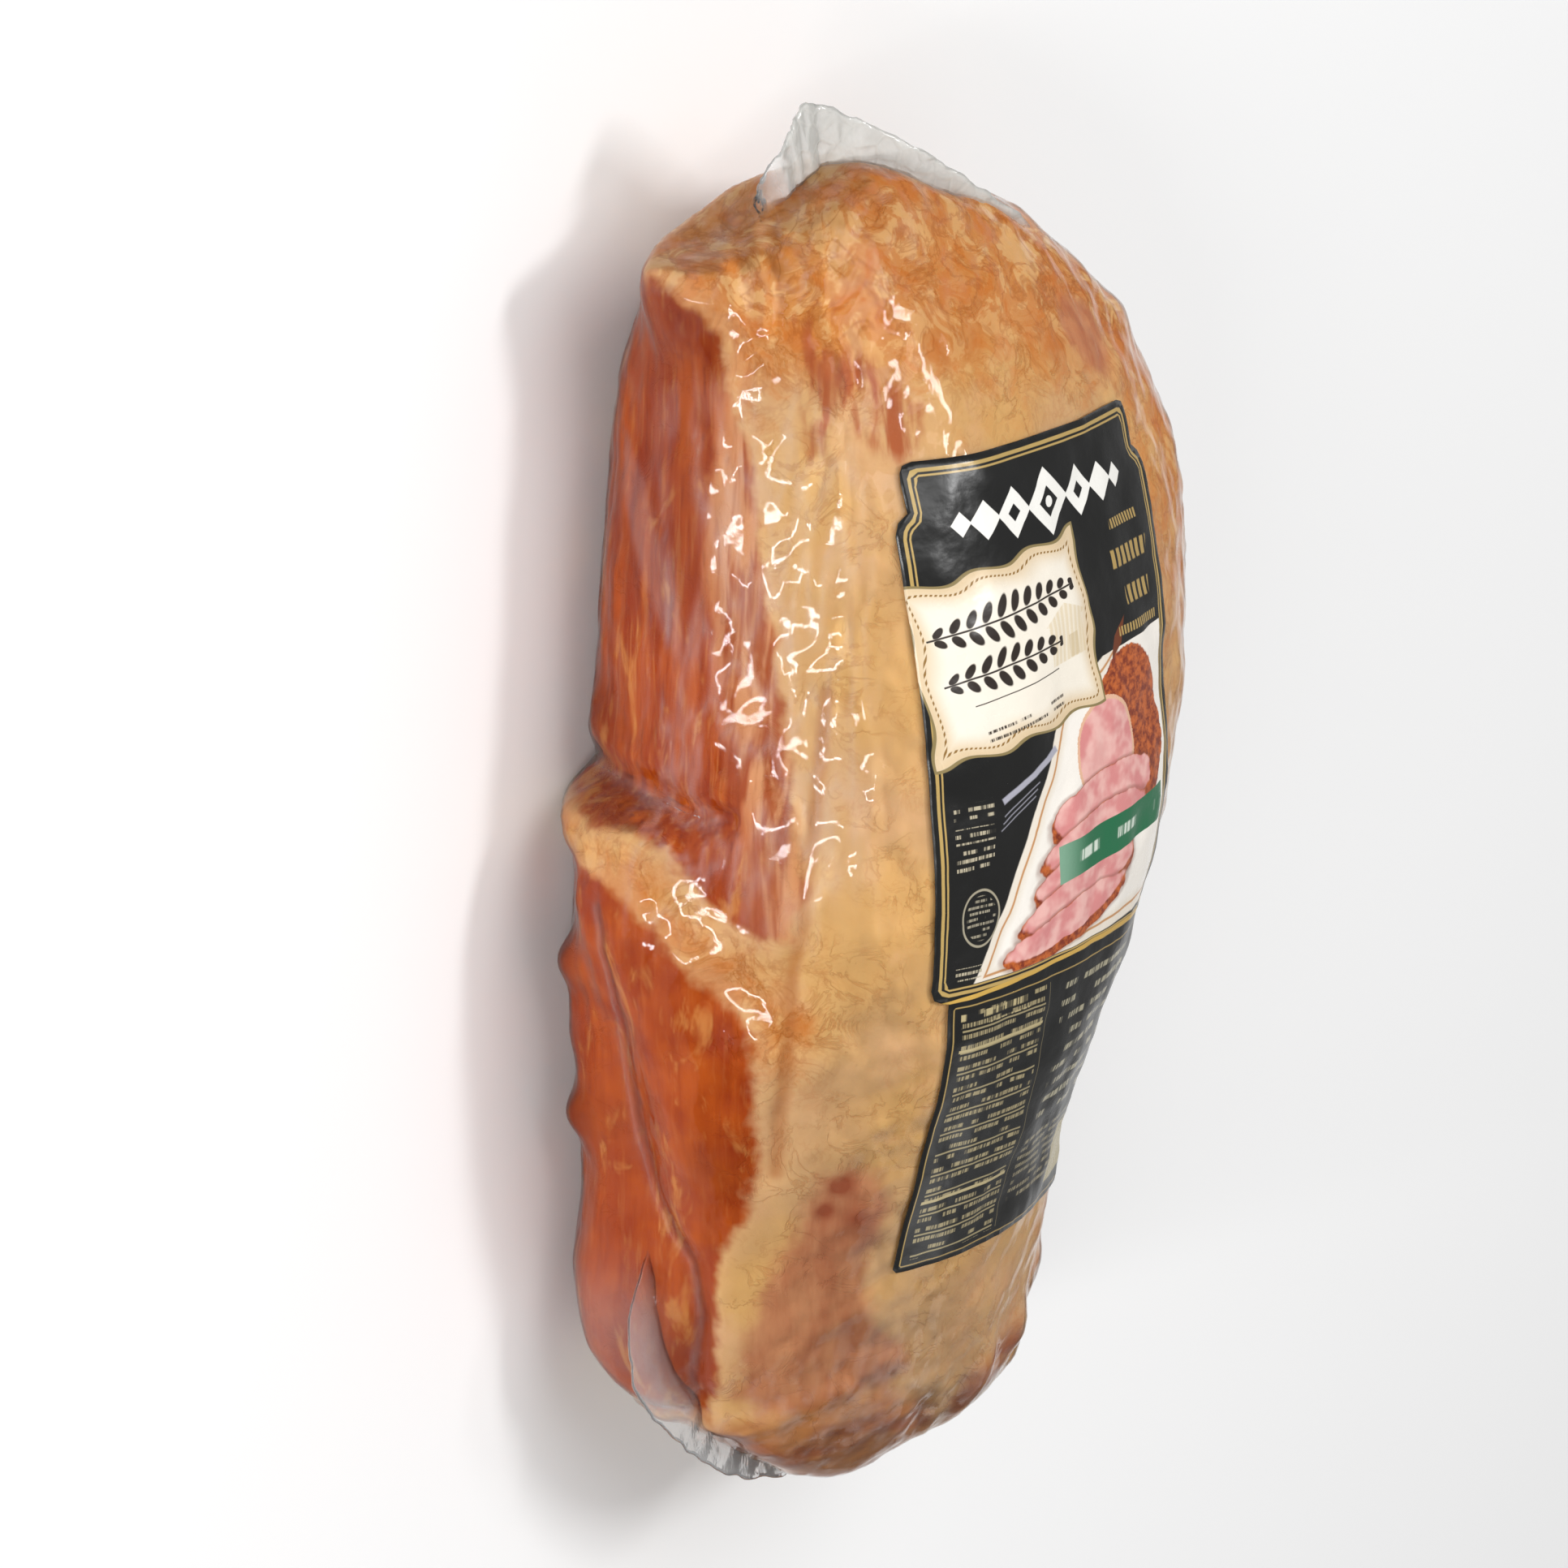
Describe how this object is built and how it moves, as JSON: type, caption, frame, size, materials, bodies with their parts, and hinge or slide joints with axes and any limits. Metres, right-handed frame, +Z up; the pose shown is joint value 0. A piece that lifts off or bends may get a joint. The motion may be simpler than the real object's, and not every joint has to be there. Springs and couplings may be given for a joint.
{
  "type": "smoked ham",
  "caption": "Boneless smoked ham, broad at the butt end and narrower at the shank end, shrink-wrapped in a clear vacuum bag with a printed label.",
  "frame": {"origin": "middle of the bounding box, on the surface that the ham rests on", "axes": "+Z up, away from the flat back that it lies on and towards the label; +Y towards the broad butt end; +X to the right of someone who reads the label"},
  "size_m": [0.2012, 0.3708, 0.1177],
  "materials": {
    "cured_meat": "smoked pork: golden fat over the front, mahogany lean on the left side and the shank end, moist",
    "clear_film": "clear glossy shrink film, wrinkled and a little milky where it stands off the meat",
    "printed_label": "glossy printed film label, black with gold lines, a cream plaque and a serving picture"
  },
  "bodies": {
    "root": {"smoked_ham": "cured_meat", "film_bag": "clear_film", "label": "printed_label"}
  },
  "joints": []
}
